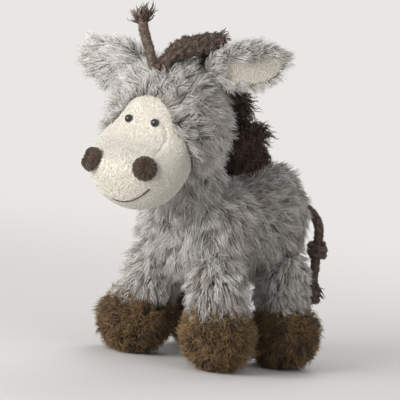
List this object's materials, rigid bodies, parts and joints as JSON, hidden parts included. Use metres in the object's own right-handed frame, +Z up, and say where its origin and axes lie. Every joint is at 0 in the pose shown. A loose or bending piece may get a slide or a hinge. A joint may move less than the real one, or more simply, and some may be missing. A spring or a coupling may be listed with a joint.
{
  "type": "plush donkey dog toy",
  "caption": "Stuffed plush donkey that stands on shaggy hooves, with a terry face, floppy ears, yarn mane, cord forelock and knotted tail, and a squeaker inside for a dog.",
  "frame": {"origin": "on the floor, under the middle of the toy's box without its forelock and tail cords", "axes": "+Z up, the toy faces -Y, its left side is +X"},
  "size_m": [0.1696, 0.271, 0.265],
  "materials": {
    "grey_plush": "long shaggy grey pile",
    "brown_plush": "short curled brown pile",
    "cream_terry": "fine looped cream terry",
    "ear_terry": "fine beige loops",
    "brown_felt": "gathered felt",
    "felted_cord": "felted wool cord with loose fibres",
    "mane_yarn": "crimped dark brown yarn",
    "black_bead": "polished",
    "mouth_thread": "twisted thread",
    "fibre_fill": "loose white fibre",
    "clear_plastic": "blown, slightly cloudy",
    "white_plastic": "moulded"
  },
  "bodies": {
    "body": {"body_cover": "grey_plush", "body_filling": "fibre_fill", "squeaker_bladder": "clear_plastic", "squeaker_plug": "white_plastic", "squeaker_reed": "clear_plastic", "mane_tuft_neck_1": "mane_yarn", "mane_tuft_neck_2": "mane_yarn"},
    "head": {"head_cover": "grey_plush", "head_filling": "fibre_fill", "face_cover": "cream_terry", "face_filling": "fibre_fill", "eye_left": "black_bead", "eye_right": "black_bead", "eye_washer_left": "white_plastic", "eye_washer_right": "white_plastic", "nostril_left": "brown_felt", "nostril_right": "brown_felt", "mouth_thread": "mouth_thread", "forelock_upright": "felted_cord", "forelock_lying": "felted_cord", "forelock_short": "felted_cord", "mane_tuft_crown_1": "mane_yarn", "mane_tuft_crown_2": "mane_yarn"},
    "ear_left": {"ear_left_back": "grey_plush", "ear_left_lining": "ear_terry"},
    "ear_right": {"ear_right_back": "grey_plush", "ear_right_lining": "ear_terry"},
    "leg_front_left": {"leg_front_left_cover": "grey_plush", "leg_front_left_filling": "fibre_fill", "hoof_front_left_cover": "brown_plush"},
    "leg_front_right": {"leg_front_right_cover": "grey_plush", "leg_front_right_filling": "fibre_fill", "hoof_front_right_cover": "brown_plush"},
    "leg_hind_left": {"leg_hind_left_cover": "grey_plush", "leg_hind_left_filling": "fibre_fill", "hoof_hind_left_cover": "brown_plush"},
    "leg_hind_right": {"leg_hind_right_cover": "grey_plush", "leg_hind_right_filling": "fibre_fill", "hoof_hind_right_cover": "brown_plush"},
    "tail": {"tail_cord_upper": "felted_cord", "tail_knot": "felted_cord", "tail_cord_lower": "felted_cord", "tail_end_knot": "felted_cord"}
  },
  "joints": [
    {"name": "head_nod", "type": "hinge", "parent": "body", "child": "head", "pos_m": [0.00448, -0.01426, 0.147], "axis": [0.9744, 0.225, 0], "range_deg": [-6, 12], "stiffness_Nm_per_rad": 0.5},
    {"name": "ear_left_flop", "type": "hinge", "parent": "head", "child": "ear_left", "pos_m": [0.03113, -0.03411, 0.22802], "axis": [-0.0169, -0.5355, 0.8444], "range_deg": [-12, 30], "stiffness_Nm_per_rad": 0.1},
    {"name": "ear_right_flop", "type": "hinge", "parent": "head", "child": "ear_right", "pos_m": [-0.02216, -0.04641, 0.22802], "axis": [-0.1005, -0.4678, 0.8781], "range_deg": [-30, 12], "stiffness_Nm_per_rad": 0.1},
    {"name": "leg_front_left_swing", "type": "hinge", "parent": "body", "child": "leg_front_left", "pos_m": [0.03448, 0.00374, 0.072], "axis": [1, 0, 0], "range_deg": [-25, 8], "stiffness_Nm_per_rad": 0.6},
    {"name": "leg_front_right_swing", "type": "hinge", "parent": "body", "child": "leg_front_right", "pos_m": [-0.02552, 0.00374, 0.072], "axis": [1, 0, 0], "range_deg": [-25, 8], "stiffness_Nm_per_rad": 0.6},
    {"name": "leg_hind_left_swing", "type": "hinge", "parent": "body", "child": "leg_hind_left", "pos_m": [0.03448, 0.08574, 0.072], "axis": [1, 0, 0], "range_deg": [-8, 25], "stiffness_Nm_per_rad": 0.6},
    {"name": "leg_hind_right_swing", "type": "hinge", "parent": "body", "child": "leg_hind_right", "pos_m": [-0.02552, 0.08574, 0.072], "axis": [1, 0, 0], "range_deg": [-8, 25], "stiffness_Nm_per_rad": 0.6},
    {"name": "tail_swing", "type": "hinge", "parent": "body", "child": "tail", "pos_m": [0.00448, 0.12142, 0.122], "axis": [0, 1, 0], "range_deg": [-40, 40]}
  ]
}
